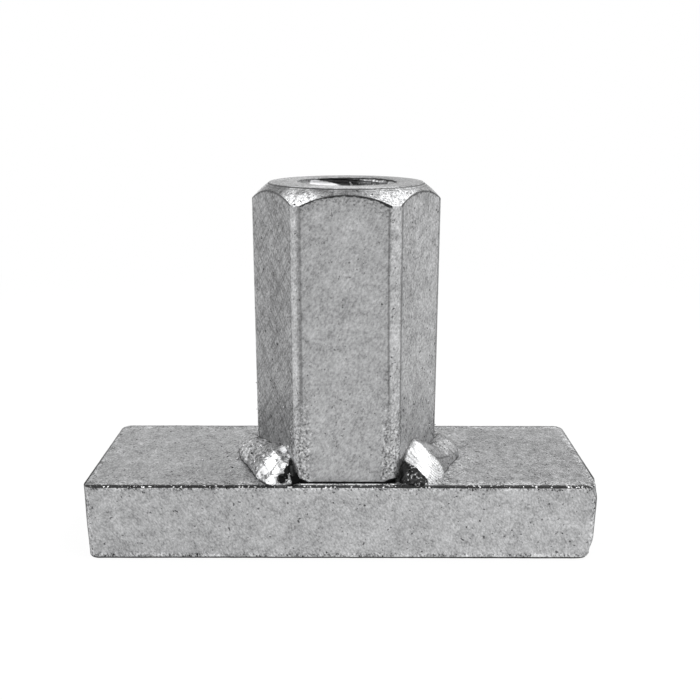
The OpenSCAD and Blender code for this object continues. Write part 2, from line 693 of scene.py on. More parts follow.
# %% [markdown]
# ## The crossbar
#
# The bar is a length of flat bar cut off in a shear. Its upright corners are dragged round by the blade,
# the lower edge of each end is rolled over, and the long edges are broken only a little. A block is
# bevelled in two rounds and sliced across in all directions. The fine grid is then soft enough to be
# dragged, with proportional editing, and dented by noise, which moves it inwards by a few hundredths of a
# millimetre.

# %% Block with rounded corners
BAR_CORNER = 1.2
BAR_EDGE = 0.22
bar_size = bar_high - bar_low
bar_middle = (bar_low + bar_high) / 2
bpy.ops.object.select_all(action="DESELECT")
bpy.ops.mesh.primitive_cube_add(size=1, location=bar_middle, scale=bar_size)
bar = just_added("crossbar")
pick(bar, "EDGE", lambda points: abs(points[0].z - points[1].z) > bar_size.z / 2)
bpy.ops.mesh.bevel(offset=BAR_CORNER, segments=8, profile=0.5, affect="EDGES")
pick(bar, "EDGE", lambda points: abs(points[0].z - points[1].z) < NEARLY)
bpy.ops.mesh.bevel(offset=BAR_EDGE, segments=4, profile=0.5, affect="EDGES")
leave_edit_mode()
print(measure(bar))

# %% Helpers that slice, drag and dent
def slice_up(piece, axis, low, high, spacing):
    """Cut a piece across with parallel planes, evenly between low and high."""
    take(piece)
    bpy.ops.object.mode_set(mode="EDIT")
    normal = Vector((0, 0, 0))
    normal[axis] = 1
    count = round((high - low) / spacing)
    for k in range(count + 1):
        bpy.ops.mesh.select_all(action="SELECT")
        bpy.ops.mesh.bisect(
            plane_co=normal * (low + (high - low) * k / count), plane_no=normal, threshold=0.0001
        )
    leave_edit_mode()


def drag(piece, wanted, shift, reach):
    """Move the chosen corners, and draw all that lies within reach along with them."""
    pick(piece, "VERT", wanted)
    bpy.ops.transform.translate(
        value=shift, use_proportional_edit=True, proportional_edit_falloff="SMOOTH", proportional_size=reach
    )
    leave_edit_mode()


def dent(piece, name, spacing, strength, outward_share=0.5, weights=""):
    """Move a piece's surface by noise. The strength is how far apart its extremes lie, in millimetres."""
    texture = bpy.data.textures.new(name, "CLOUDS")
    texture.noise_scale = spacing
    texture.noise_depth = 2
    change(
        piece,
        "DISPLACE",
        texture=texture,
        strength=strength,
        mid_level=1 - outward_share,
        texture_coords="LOCAL",
        vertex_group=weights,
    )


print("slicing and denting ready")

# %% Slice, drag and dent the bar
SLICE = 0.4
for axis in range(3):
    slice_up(bar, axis, bar_low[axis] + SLICE, bar_high[axis] - SLICE, SLICE)


def on_right_foot(points):
    return points[0].x > bar_high.x - SLICE and points[0].z < bar_low.z + SLICE


def on_left_foot(points):
    return points[0].x < bar_low.x + SLICE and points[0].z < bar_low.z + SLICE


def on_front_brow(points):
    at_end = points[0].x > bar_high.x - SLICE and points[0].z > bar_high.z - SLICE
    return at_end and points[0].y < bar_low.y + 3 * SLICE


drag(bar, on_right_foot, (-0.12, 0, 0), 6.0)
drag(bar, on_right_foot, (-0.30, 0, 0.20), 1.6)
drag(bar, on_left_foot, (0.10, 0, 0), 3.5)
drag(bar, on_front_brow, (-0.22, 0, -0.05), 1.5)
tidy_mesh(bar)
dent(bar, "bar_waves", 5.0, 0.04, outward_share=0)
dent(bar, "bar_nicks", 0.8, 0.03, outward_share=0)
print(measure(bar))

# %% [markdown]
# ## The weld beads
#
# A weld bead fills the corner between nut and bar. It is drawn out as a hand would do it: a round section
# is extruded again and again, moved and resized to the bead's width and height at each step. Each section
# is given by three distances, along the nut's flat towards its side corner, out from the flat and up from
# the bar, and by how deep its middle is sunk into the corner: the deeper, the flatter its arc.

# %% Helpers that draw out a bead
def bead_axes(side):
    """The outward and along directions of the front flat on one side: -1 is the left, 1 the right."""
    outward = Vector((side * math.cos(half_step), -math.sin(half_step), 0))
    along = Vector((side * math.sin(half_step), math.cos(half_step), 0))
    return outward, along


def on_flat(side, along_at, out_at, up_at):
    """A place by its distances from the foot of the flat's middle."""
    outward, along = bead_axes(side)
    foot = Vector((nut_axis.x, nut_axis.y, bar_top)) + outward * across_flats / 2
    return foot + along * along_at + outward * out_at + Vector((0, 0, up_at))


def section_size(section):
    """The middle of a bead's section and its two radii, so that it reaches as far out and up as it says."""
    along_at, out, up, sunk = section
    radius = math.hypot(1 + sunk, sunk)
    return Vector((-sunk * out, along_at, -sunk * up)), (radius * out, radius * up)


def draw_bead(name, sections, corners):
    """Extrude a bead through its sections, with X outward and Y along the flat."""
    middle, (radius_out, radius_up) = section_size(sections[0])
    bpy.ops.object.select_all(action="DESELECT")
    bpy.ops.mesh.primitive_circle_add(
        vertices=corners,
        radius=1,
        fill_type="NGON",
        location=middle,
        rotation=(math.radians(90), 0, 0),
    )
    bpy.context.object.scale = (radius_out, radius_up, 1)
    bead = just_added(name)
    edit_all()
    for section in sections[1:]:
        next_middle, (next_out, next_up) = section_size(section)
        bpy.ops.mesh.extrude_region_move(TRANSFORM_OT_translate={"value": next_middle - middle})
        bpy.ops.transform.resize(
            value=(next_out / radius_out, 1, next_up / radius_up), center_override=next_middle
        )
        middle, radius_out, radius_up = next_middle, next_out, next_up
    leave_edit_mode()
    return bead


def seat_bead(bead, side):
    """Turn a drawn bead to its flat, as its mirror image on the left, and move it to its foot."""
    outward, _ = bead_axes(side)
    take(bead)
    bead.scale = (1, side, 1)
    bead.rotation_euler = (0, 0, math.atan2(outward.y, outward.x))
    bead.location = on_flat(side, 0, 0, 0)
    settle()
    tidy_mesh(bead)


print("ready to draw beads")

# %% [markdown]
# The left bead cooled in flat facets, so its sections have few corners, and the right one is round. Both
# are cut to the corner between nut and bar, scooped out where the real ones have hollows, and remeshed into
# one even skin, which noise can roughen afterwards.

# %% Helpers that carve a bead
def add_ball(side, along_at, out_at, up_at, reach_along, reach_out, reach_up):
    """An egg-shaped ball, by its place on the flat and its reach in each direction."""
    outward, _ = bead_axes(side)
    bpy.ops.object.select_all(action="DESELECT")
    bpy.ops.mesh.primitive_uv_sphere_add(
        segments=32,
        ring_count=16,
        radius=1,
        location=on_flat(side, along_at, out_at, up_at),
        rotation=(0, 0, math.atan2(outward.y, outward.x)),
        scale=(reach_out, reach_along, reach_up),
    )
    return just_added("ball")


def cut_block(piece, low, high):
    """Cut a box out of a piece, by its lowest and highest corners."""
    bpy.ops.object.select_all(action="DESELECT")
    bpy.ops.mesh.primitive_cube_add(size=1, location=(low + high) / 2, scale=high - low)
    cut(piece, just_added("block"))


print("ready to carve beads")

# %% Draw both beads
BEAD_SINK = 0.3
BEAD_GRID = 0.09
left_sections = [
    (-5.0, 1.3, 0.3, 0.0),
    (-4.7, 2.1, 0.8, 0.1),
    (-4.2, 2.6, 1.6, 0.2),
    (-3.5, 2.95, 2.3, 0.3),
    (-2.7, 3.1, 2.8, 0.2),
    (-2.0, 3.1, 3.1, 0.1),
    (-1.0, 3.0, 3.0, 0.0),
    (0.4, 2.8, 2.55, 0.0),
    (1.8, 2.6, 2.35, 0.0),
    (3.3, 2.5, 2.1, 0.0),
    (4.8, 2.2, 1.9, 0.0),
    (6.0, 1.7, 1.5, 0.0),
    (6.8, 0.8, 0.7, 0.0),
]
left_scoops = [(-4.55, 1.45, 0.65, 0.55, 0.55, 0.5), (-4.35, 0.25, 1.5, 0.45, 0.35, 1.0)]
right_sections = [
    (-4.5, 1.4, 0.25, 0.0),
    (-4.2, 2.3, 0.7, 0.1),
    (-3.75, 2.75, 1.35, 0.3),
    (-3.3, 3.05, 1.95, 0.6),
    (-2.5, 3.25, 2.7, 0.5),
    (-1.7, 3.35, 3.1, 0.4),
    (-0.9, 3.4, 3.45, 0.4),
    (0.1, 3.3, 3.25, 0.4),
    (1.3, 3.15, 2.5, 0.2),
    (2.2, 2.9, 1.8, 0.0),
    (3.4, 2.9, 1.7, 0.0),
    (5.0, 2.7, 1.9, 0.0),
    (6.2, 2.1, 1.7, 0.0),
    (7.0, 0.8, 0.9, 0.0),
]
right_scoops = [(-4.4, 0.2, 0.9, 0.5, 0.4, 1.0)]
bead_left = draw_bead("bead_left", left_sections, 14)
bead_right = draw_bead("bead_right", right_sections, 64)
for side, bead, scoops in ((-1, bead_left, left_scoops), (1, bead_right, right_scoops)):
    seat_bead(bead, side)
    cut(bead, hexagon_prism("nut_core", BEAD_SINK, bar_low.z, nut_top))
    cut_block(bead, bar_low - bar_size, Vector((2 * bar_size.x, 2 * bar_size.y, bar_top - BEAD_SINK)))
    for scoop in scoops:
        cut(bead, add_ball(side, *scoop))
    change(bead, "REMESH", mode="VOXEL", voxel_size=BEAD_GRID)
    print(measure(bead))

# %% [markdown]
# Noise at two sizes roughens the beads. The last puddle of the right bead froze smooth, so a vertex group
# says where each bead is rough, and the noise acts by its weights. What still stands over the bar's front
# is cut off.

# %% Roughen the beads
CRUST_END = -3.20


def distance_along(point, side):
    """How far a point lies along the flat from its middle, towards the side corner."""
    _, along = bead_axes(side)
    return (point - on_flat(side, 0, 0, 0)).dot(along)


def weigh(piece, name, weight):
    """Make a vertex group with each corner's weight worked out from its place."""
    group = piece.vertex_groups.new(name=name)
    for corner in piece.data.vertices:
        group.add([corner.index], weight(corner.co), "REPLACE")


def left_roughness(point):
    """The front of the left bead, up to 2 mm before the flat's middle, is smoother than the rest."""
    return 0.35 if distance_along(point, -1) < -2.0 else 1.0


def right_roughness(point):
    """The right bead is roughest in its crust, smooth in its last puddle and uneven behind it."""
    along = distance_along(point, 1)
    if along < CRUST_END:
        return 1.0
    return 0.12 if along < 0.6 else 0.45


weigh(bead_left, "rough", left_roughness)
weigh(bead_right, "rough", right_roughness)
for bead, smoothing in ((bead_left, 2), (bead_right, 6)):
    change(bead, "SMOOTH", factor=0.5, iterations=smoothing)
    dent(bead, "bead_lumps", 1.3, 0.34, weights="rough")
    dent(bead, "bead_grit", 0.42, 0.20, weights="rough")
    bead.vertex_groups.clear()
    cut_block(bead, bar_low - bar_size, Vector((2 * bar_size.x, bar_low.y + NEARLY, 2 * bar_top)))
    print(measure(bead))

# %% [markdown]
# ## Spatter
#
# Welding throws small droplets that freeze where they land. They are tiny balls half sunk in the bar and
# the nut, thickest near the beads. Each is added as a ball of its own, and all are joined.

# %% Scatter droplets
SPATTER_COUNT = 70
SMALLEST, SIZE_RANGE = 0.05, 0.13
SHARE_ON_BAR = 0.6
SPREAD = 2.2
FRONT_END, BACK_END, FLAT_END = -4.6, 6.5, 4.6
BEAD_WIDTH, BEAD_HEIGHT = 2.6, 1.5
CLIMB = 1.6
FROM_BAR_SIDE = 0.4
spatter_random = random.Random(7)
droplets = []
for k in range(SPATTER_COUNT):
    side = spatter_random.choice((-1, 1))
    size = SMALLEST + SIZE_RANGE * spatter_random.random() ** 3
    lands_on_bar = spatter_random.random() < SHARE_ON_BAR
    reach = abs(spatter_random.gauss(0, SPREAD))
    sideways = spatter_random.uniform(FRONT_END, BACK_END)
    if lands_on_bar:
        spot = on_flat(side, sideways, BEAD_WIDTH + reach, 0)
    else:
        spot = on_flat(side, min(sideways, FLAT_END), 0, BEAD_HEIGHT + CLIMB * reach)
    if not bar_low.y + FROM_BAR_SIDE <= spot.y <= bar_high.y - FROM_BAR_SIDE:
        continue
    bpy.ops.object.select_all(action="DESELECT")
    bpy.ops.mesh.primitive_ico_sphere_add(subdivisions=2, radius=size, location=spot)
    droplets.append(bpy.context.object)
take(droplets[0])
for droplet in droplets:
    droplet.select_set(True)
bpy.ops.object.join()
spatter = just_added("weld_spatter")
print(measure(spatter))

# %% [markdown]
# ## Zinc plated steel
#
# Bright zinc over rolled steel is a neutral grey metal, neither polished nor dull. Close up it is mottled:
# soft clouds, darker blots, a finer grain, small pits and faint strokes. Each of these is a noise at its
# own size, and they are added to one tone, from which colour, roughness and bump follow. Every piece starts
# from this finish, and zones of another tone, roughness and mottling are laid over it, one after the other.

# %% Plated finish
ZINC = (0.985, 0.99, 1.0, 1)
BLACK = (0, 0, 0, 1)
RELIEF = 0.018
IN_TONE = {"clouds": 0.5, "mottles": 0.9, "blots": -0.16, "grain": 1.7, "strokes": 0.10, "pits": -0.5}
IN_HEIGHT = {"mottles": 0.8, "grain": 0.6, "pits": -0.8}
IN_ROUGHNESS = {"mottles": 0.3, "pits": 0.2}


def in_millimetres(place):
    """The X, Y and Z of a place."""
    return [part * (1 / MM) for part in place.parts()]


def finish_noises(place, lean):
    """The noises of the finish by name. The grain and the strokes are drawn out along a leaning Z."""
    return {
        "clouds": place.noise(2.4, detail=3),
        "mottles": place.noise(0.8, detail=4, roughness=0.65),
        "blots": place.noise(1.3, detail=4, roughness=0.7).ramp(0.08, 0.22),
        "grain": place.drawn_out((1, 1, 1.5), (0, lean, 0)).noise(0.19, detail=3, roughness=0.7),
        "strokes": place.drawn_out((1, 1, 7), (0.2, lean, 0.1)).noise(0.30, detail=1).ramp(0.17, 0.25),
        "pits": place.noise(0.34, detail=1, roughness=0.4).ramp(0.20, 0.26),
    }


def weighted(noises, weights):
    return sum(noises[name] * weight for name, weight in weights.items())


def plated(name, tone, zones=None, roughness=0.42, mottle=1.0, lean=0.5, relief=1.0):
    """A zinc plated steel. Zones, a function of the place, gives (mask, tone, roughness, mottle) rows.

    A row may end with how metallic the zone is. Zones of painted highlight are less so, and look white from
    every side.
    """
    material, shader, place = new_material(name)
    noises = finish_noises(place, lean)
    tone_here, rough_here, mottle_here, metal_here = tone, roughness, mottle, 1.0
    for mask, zone_tone, zone_roughness, zone_mottle, *zone_metal in zones(place) if zones else ():
        tone_here = mask.between(tone_here, zone_tone)
        rough_here = mask.between(rough_here, zone_roughness)
        mottle_here = mask.between(mottle_here, zone_mottle)
        metal_here = mask.between(metal_here, zone_metal[0]) if zone_metal else metal_here
    shade = tone_here * (1 + weighted(noises, IN_TONE) * mottle_here)
    colour = shade.blend(BLACK, ZINC)
    normal = place.node(
        "ShaderNodeBump",
        inputs={
            "Height": weighted(noises, IN_HEIGHT) * mottle_here,
            "Strength": 1.0,
            "Distance": RELIEF * MM * relief,
        },
    )
    rough_here = rough_here + weighted(noises, IN_ROUGHNESS) * mottle_here
    connect(shader, Base_Color=colour, Roughness=rough_here, Normal=normal)
    if isinstance(metal_here, Value):
        connect(shader, Metallic=metal_here)
    else:
        shader.inputs["Metallic"].default_value = metal_here
    return material


def from_nut_axis(place):
    """The place in millimetres from the nut's axis, and how far it lies out along the flats' normals.

    The last value is the largest of these distances, so it is the same all round a hexagon.
    """
    x, y, z = in_millimetres(place)
    x = x - nut_axis.x
    y = y - nut_axis.y
    to_right_front = x * math.cos(half_step) - y * math.sin(half_step)
    to_left_front = -x * math.cos(half_step) - y * math.sin(half_step)
    beyond = y.size().larger(to_right_front.size()).larger(to_left_front.size())
    return x, y, z, to_left_front, to_right_front, beyond


print("finish ready")

# %% [markdown]
# ## The nut's finish
#
# Many zones of the nut depend on the same few distances, so these are worked out once. Past flat is how far
# a place on the turned end lies outside the flats' inscribed circle, and sideways is how far one on an
# outer face lies from the middle of its flat. Ragged noise is added to many of the distances before they
# become masks, because no border on the real part is a clean line.

# %% Distances on the nut
class NutPlace:
    """A place on the nut: distances in millimetres, and the masks that several zones share."""

    def __init__(self, place):
        flat = across_flats / 2
        self.place = place
        self.x, self.y, self.z, self.to_left_front, self.to_right_front, self.beyond = from_nut_axis(place)
        self.radius = (self.x * self.x + self.y * self.y).root()
        self.past_flat = self.radius - flat
        self.inset = flat - self.beyond
        self.sideways = (self.radius * self.radius - flat * flat).larger(0).root()
        self.from_bar = self.z - bar_top
        self.from_top = nut_top - self.z
        self.under_crown = nut_top - crown_drop(self.past_flat) - self.z
        self.on_top = self.from_top.ramp(0.06, 0.02)
        self.turned = (self.under_crown + 0.02).ramp(0.05, 0.0) * (1 - self.on_top)
        self.below = 1 - self.turned.larger(self.on_top)
        self.on_front = (-self.y).ramp(flat - 0.10, flat - 0.02) * self.below
        self.ragged = place.noise(0.5, detail=3, roughness=0.6) * 0.25
        self.specks = place.noise(0.24, detail=2)


print("places on the nut ready")

# %% [markdown]
# The left flat is darker than the others, partly from duller plating and partly from painted shade, and
# it is cross-hatched by a coarse file. The front one darkens towards its edges in painted shade.

# %% Zones on the flats
ON_SIDE = (8.2, 8.45)
FILE_TURN = (0.659, 0.464)
MARK_LENGTH = 14


def file_marks(place, way):
    """Long scratches that slant one way (-1) or the other (1)."""
    turn = (way * FILE_TURN[0], way * FILE_TURN[1], 0)
    return place.drawn_out((1, 1, MARK_LENGTH), turn).noise(0.26, detail=1).ramp(0.06, 0.11)


def flat_zones(at):
    left_side = at.to_left_front.ramp(*ON_SIDE) * at.below
    right_side = at.to_right_front.ramp(*ON_SIDE) * at.below
    cross_hatch = file_marks(at.place, -1).larger(file_marks(at.place, 1))
    near_edge = at.x.size().ramp(2.9, 4.2).larger(at.under_crown.ramp(1.3, 0.2))
    return [
        # The left flat's darker tone is partly duller plating and partly painted shade.
        (left_side, 0.315, 0.46, 1.7),
        (left_side * cross_hatch * 0.8, 0.20, 0.46, 1.7),
        (right_side, 0.40, 0.44, 1.6),
        # Painted shade: the front flat darkens near its corners and under the arcs.
        (at.on_front * near_edge * 0.55, 0.36, 0.46, 1.2),
    ]


print("zones on the flats ready")

# %% [markdown]
# The lathe's chamfer has painted shade between the corners and painted highlights at them, brighter on the
# left. It has rings left by the tool, two deeper grooves, and nicks, of which there are more on the right.
# Noise over the radius, the height and only a little of X comes out as rings. The ring round the hole is
# greyer, with painted shade that deepens to the right, and its near rim has a painted highlight.

# %% Zones on the turned end
RING_STRETCH = 20
GROOVE_IN, GROOVE_OUT = 0.60, 0.36


def turned_zones(at):
    chamfer_corner_highlight = at.turned * (at.beyond / at.radius).ramp(0.975, 0.92)
    rings = at.place.node(
        "ShaderNodeCombineXYZ",
        inputs={0: at.radius * MM, 1: at.z * MM, 2: at.x * (MM / RING_STRETCH)},
    )
    ring_lines = rings.noise(0.16, detail=2, roughness=0.6).ramp(0.02, 0.10) * at.past_flat.ramp(0.7, 0.1)
    worn = at.x.ramp(0, 3) * (0.04 + at.past_flat.ramp(0.35, -0.15) * 0.08)
    nicks = (at.place.noise(0.30, detail=2) + worn).ramp(0.10, 0.16)
    inner_groove = (at.past_flat + GROOVE_IN + at.ragged * 0.2).size().ramp(0.10, 0.04)
    outer_groove = (at.past_flat + GROOVE_OUT + at.ragged * 0.5).size().ramp(0.08, 0.03) * 0.8
    return [
        # Painted shade on the chamfer between its corners, and painted highlights at the corners, brighter
        # on the left.
        (at.turned, 0.17, 0.30, 3.0),
        (chamfer_corner_highlight, at.x.ramp(-3, 3).between(0.72, 0.30), 0.28, 2.8, 0.75),
        # Painted shade deepening to the right on the ring round the hole, and a painted highlight on its
        # near rim.
        (at.on_top, at.x.ramp(-6, 6).between(0.35, 0.24), 0.36, 3.0),
        (at.on_top * at.y.ramp(-5.2, -6.4), 0.52, 0.36, 2.0),
        (at.turned * ring_lines * 0.7, 0.24, 0.4, 1.0, 1.0),
        (at.turned * nicks * 0.9, 0.12, 0.5, 1.0, 1.0),
        (inner_groove.larger(outer_groove) * at.turned, 0.10, 0.5, 1.0, 1.0),
    ]


print("zones on the turned end ready")

# %% [markdown]
# Each rounded corner has a painted sheen that makes it lighter than the flats, and lies between two dark
# creases of painted shade. At the front right both creases move to the right towards the foot. The creases
# on the front face fade near the foot, and the corners on the left have creases on the front face only. Low
# down, where the welds heated the metal, the corners are speckled.

# %% Zones on the upright corners
RIGHT_CREASE, LEFT_FRONT_CREASE, LEFT_SIDE_CREASE, BACK_CREASE = 4.04, 4.28, 4.05, 4.215


def corner_zones(at):
    faces_front = (-at.y - at.to_left_front.larger(at.to_right_front)).ramp(-0.05, 0.05)
    lean_out = at.from_bar.ramp(22, 2) * 0.2
    right_crease = faces_front.between(RIGHT_CREASE - lean_out, RIGHT_CREASE + lean_out)
    left_crease = faces_front.between(LEFT_SIDE_CREASE, LEFT_FRONT_CREASE)
    front_crease = at.x.ramp(-1, 1).between(left_crease, right_crease)
    from_crease = at.sideways - at.y.ramp(-4.0, -4.5).between(BACK_CREASE, front_crease)
    crease = (from_crease + at.ragged * 0.5).size() * faces_front.between(0.55, 1)
    crease = crease.ramp(0.14, 0.03) * at.below * 0.85
    crease = crease * (1 - at.on_front * at.from_bar.ramp(9, 5)) * faces_front.larger(at.x.ramp(-1, 1))
    corner = at.inset.ramp(0.004, 0.03) * from_crease.ramp(-0.02, 0.04) * at.below
    near_weld = at.from_bar.ramp(11, 3) * at.radius.ramp(9.1, 9.32) * at.below
    return [
        # Painted sheen on the rounded corners, and painted shade in the creases beside them.
        (corner, 0.475, 0.38, 1.3),
        (crease, 0.20, 0.5, 1.2),
        (near_weld * at.specks.ramp(0.05, 0.12), 0.14, 0.5, 1.0),
        (near_weld * at.specks.ramp(-0.06, -0.12) * 0.7, 0.75, 0.3, 1.0),
    ]


print("zones on the corners ready")

# %% [markdown]
# A dark line follows the arcs where the chamfer meets the flats, partly a burr and partly painted shade. It
# is widest at the front right, with specks of dirt under it, and the foot is black with painted shadow
# where the nut meets the bar.

# %% Zones of dirt and painted shade
def dirt_and_shade_zones(at):
    arc_width = 0.15 + 0.10 * at.x.ramp(2.4, 4.0) * at.on_front
    arc = (at.under_crown + at.ragged * 1.8 - arc_width).ramp(0.08, -0.06) * at.under_crown.ramp(-0.04, 0.0)
    arc = arc * at.inset.ramp(0.05, 0.02) * (1 - at.on_top)
    dirt_reach = at.x.ramp(1.5, 3.6).between(0.5, 1.1)
    under_arc = (at.under_crown - dirt_reach + at.specks * 3).ramp(0.1, -0.3) * at.specks.ramp(-0.02, -0.12)
    foot_height = 0.17 + at.sideways.ramp(3.8, 4.6) * 0.35
    foot = (at.from_bar + at.ragged * 0.4 - foot_height).ramp(0.05, -0.05)
    return [
        # Part burr and part painted shade along the arcs.
        (arc, at.on_front.between(0.13, 0.035), 0.6, 1.0),
        (at.on_front * under_arc * 0.5, 0.10, 0.6, 1.0),
        # Painted shadow at the foot, where the nut meets the bar.
        (foot, 0.02, 0.8, 1.0),
    ]


print("zones of dirt ready")

# %% [markdown]
# The mouth of the hole is painted dark in the middle, as shade, pale on the left with a painted highlight
# where the back lamp falls, and grey with a few painted glints on the right. A thin black line of painted
# shadow follows most of its rim, and deeper down the thread is grey.

# %% Zones in the hole, and the nut's material
HOLE_RADIUS = 5.5
HOLE_FADE = 0.2


def hole_zones(at):
    in_hole = at.radius.ramp(HOLE_RADIUS, HOLE_RADIUS - HOLE_FADE)
    in_hole = in_hole * (at.from_top + at.ragged * 0.4).ramp(0.02, 0.08)
    deep = in_hole * at.from_top.ramp(1.1, 1.9)
    mouth = in_hole * (1 - deep)
    far_rim_shadow = mouth * (at.from_top + at.ragged * 1.2).ramp(0.25, 0.12) * at.x.ramp(-3.8, -3.2)
    lit_side = mouth * (at.from_top - at.x * 0.2 + at.ragged * 1.5).ramp(0.78, 0.90) * at.x.ramp(-0.5, -1.1)
    grey_end = mouth * (at.x + at.ragged).ramp(-3.7, -3.9)
    glint = mouth * at.place.noise(0.35, detail=1).ramp(0.12, 0.18) * at.x.ramp(-0.5, 0.5)
    return [
        # Painted shade darkens the mouth; the lit side and the glints are painted highlights, and the far
        # rim line is painted shadow.
        (mouth, 0.10, 0.5, 1.5),
        (deep, 0.26, 0.4, 2.0),
        (mouth * at.x.ramp(1.0, 1.8), 0.28, 0.4, 3.0),
        (glint, 0.8, 0.3, 1.0, 0.6),
        (lit_side, 1.0, 0.3, 0.3, 0.1),
        (grey_end, 0.40, 0.4, 2.0, 0.6),
        (far_rim_shadow, 0.015, 0.6, 1.0, 1.0),
    ]


def nut_zones(place):
    at = NutPlace(place)
    return [*flat_zones(at), *turned_zones(at), *corner_zones(at), *dirt_and_shade_zones(at), *hole_zones(at)]


nut_steel = plated("plated_nut", 0.405, nut_zones)
print("nut material with", len(nut_steel.node_tree.nodes), "nodes")

# %% [markdown]
# ## The bar's finish
#
# On the bar, the broken edges carry dark, ragged lines of painted shade, strongest at the front, with
# painted glints on the top front edge, and the metal beside them is speckled. The top is more mottled than
# the front, most of all round the welds, and a black seam of painted shadow lies under the nut. The narrow
# strip of the top in front of the nut is pale from painted light, and speckled. The front is painted
# lighter and the top darker towards the right end. Two of the three distances to the nearest faces are
# small only along an edge, so the second smallest of them tells where the edges are. Two of the distances
# are stretched, which makes the lines narrower there. A thin dark line of painted shade runs down each of
# the two front corners as well.

# %% Bar material
END_STRETCH, TOP_STRETCH, FOOT_STRETCH = 1.7, 3, 2


def bar_zones(place):
    from_middle_x, from_middle_y, z = in_millimetres(place)
    from_end = (bar_size.x / 2 - from_middle_x.size()) * END_STRETCH
    from_side = bar_size.y / 2 - from_middle_y.size()
    from_face = ((bar_size.z - z) * TOP_STRETCH).smaller(z * FOOT_STRETCH)
    from_edge = from_end.smaller(from_side).larger(from_end.larger(from_side).smaller(from_face))
    ragged = place.noise(0.6, detail=3, roughness=0.65) * 0.5
    # Painted shade: dark lines along the broken edges, stronger at the front.
    edge = (from_edge + ragged * 0.4).ramp(0.60, 0.45) * from_middle_y.ramp(7, -8).between(0.4, 1)
    # Painted shade: a thin dark line down each front upright corner.
    upright_edge_shade = (from_end + ragged * 0.4 - z.ramp(6, 0) * 0.35).ramp(0.60, 0.40)
    upright_edge_shade = upright_edge_shade * (from_side + ragged * 0.5 - 0.75).size().ramp(0.26, 0.14)
    upright_edge_shade = upright_edge_shade * from_middle_y.ramp(0, -1)
    specks = place.noise(0.26, detail=1)
    glints = edge * specks.ramp(0.13, 0.17) * z.ramp(bar_top - 0.6, bar_top - 0.3) * from_end.ramp(1.0, 1.7)
    speckled = (from_edge + ragged).ramp(1.6, 1.0)
    on_top = z.ramp(bar_top - 0.25, bar_top - 0.10)
    to_the_right = from_middle_x.ramp(bar_low.x, bar_high.x)
    x, y, *_, beyond = from_nut_axis(place)
    near_weld = on_top * (x * x + y * y).root().ramp(15, 11)
    ledge = on_top * y.ramp(-8.40, -8.48) * x.size().ramp(5.0, 4.6)
    # Painted shadow: the black seam under the nut.
    under_nut_shadow = on_top * (beyond + ragged * 0.2).ramp(across_flats / 2 + 0.12, across_flats / 2 + 0.04)
    return [
        # Painted light: the front lighter and the top darker towards the right end, and the ledge in front
        # of the nut pale, its speckles a burr.
        (to_the_right * (1 - on_top), 0.455, 0.42, 1.15),
        (on_top, to_the_right.between(0.42, 0.34), 0.44, 1.6),
        (near_weld, 0.40, 0.44, 2.6),
        (speckled, 0.43, 0.44, 2.6),
        (ledge, 0.95, 0.50, 4.0, 0.4),
        (edge.larger(upright_edge_shade), 0.035, 0.5, 1.0),
        (glints, 0.85, 0.3, 0.5),
        (under_nut_shadow, 0.02, 0.8, 1.0),
    ]


bar_steel = plated("plated_bar", 0.405, bar_zones, mottle=1.15, lean=-0.5)
print("bar material with", len(bar_steel.node_tree.nodes), "nodes")

# %% [markdown]
# ## The welds' finish
#
# A weld shows how it cooled in its ripples, crust and cracks, and its bright and black spots are painted
# highlights and painted shade. Places on a bead are given as in its drawing: along the flat, out from it
# and up from the bar. The spots are balls of influence: a place is in a spot when it lies within its reach.
# Each spot is its middle and its reach.

# %% Places on a bead
def bead_distances(place, side):
    """How far a place lies along the flat, out from it and up from the bar, in millimetres."""
    x, y, z = in_millimetres(place)
    outward, along = bead_axes(side)
    x = x - nut_axis.x
    y = y - nut_axis.y
    return x * along.x + y * along.y, x * outward.x + y * outward.y - across_flats / 2, z - bar_top


def spots_at(distances, spots, ragged):
    """1 within any of these spots, whose borders are made ragged, and 0 elsewhere."""
    along, out, up = distances
    mask = None
    for spot_along, spot_out, spot_up, reach in spots:
        away_along, away_out, away_up = along - spot_along, out - spot_out, up - spot_up
        away = (away_along * away_along + away_out * away_out + away_up * away_up).root()
        spot = (away + ragged).ramp(reach + 0.04, reach - 0.06)
        mask = mask.larger(spot) if mask else spot
    return mask


print("places on a bead ready")

# %% [markdown]
# The front of the left bead is a jumble of facets with painted highlights round a black crater of painted
# shade. Lines of painted shade follow its edges against the bar and the nut, and its tail by the nut's
# corner is black with painted shadow. The older metal behind is rough and grey, like the bar.

# %% Left bead's material
left_facet_highlights = [
    (-2.80, 1.88, 1.80, 0.56),
    (-2.45, 1.45, 2.30, 0.30),
    (-2.60, 2.69, 1.03, 0.45),
    (-3.10, 2.30, 1.25, 0.40),
    (-2.18, 2.95, 0.49, 0.42),
    (-3.90, 2.43, 0.48, 0.50),
    (-3.80, 1.92, 1.20, 0.26),
    (-2.48, 0.24, 2.78, 0.40),
    (-3.31, 0.09, 2.27, 0.28),
    (-3.83, 0.81, 1.74, 0.42),
]
left_shaded_hollows = [
    (-4.23, 1.36, 0.38, 0.50),
    (-4.40, 1.15, 0.80, 0.34),
    (-4.26, 0.85, 1.27, 0.32),
    (-4.10, 0.45, 1.55, 0.30),
    (-3.95, 0.15, 1.85, 0.32),
]


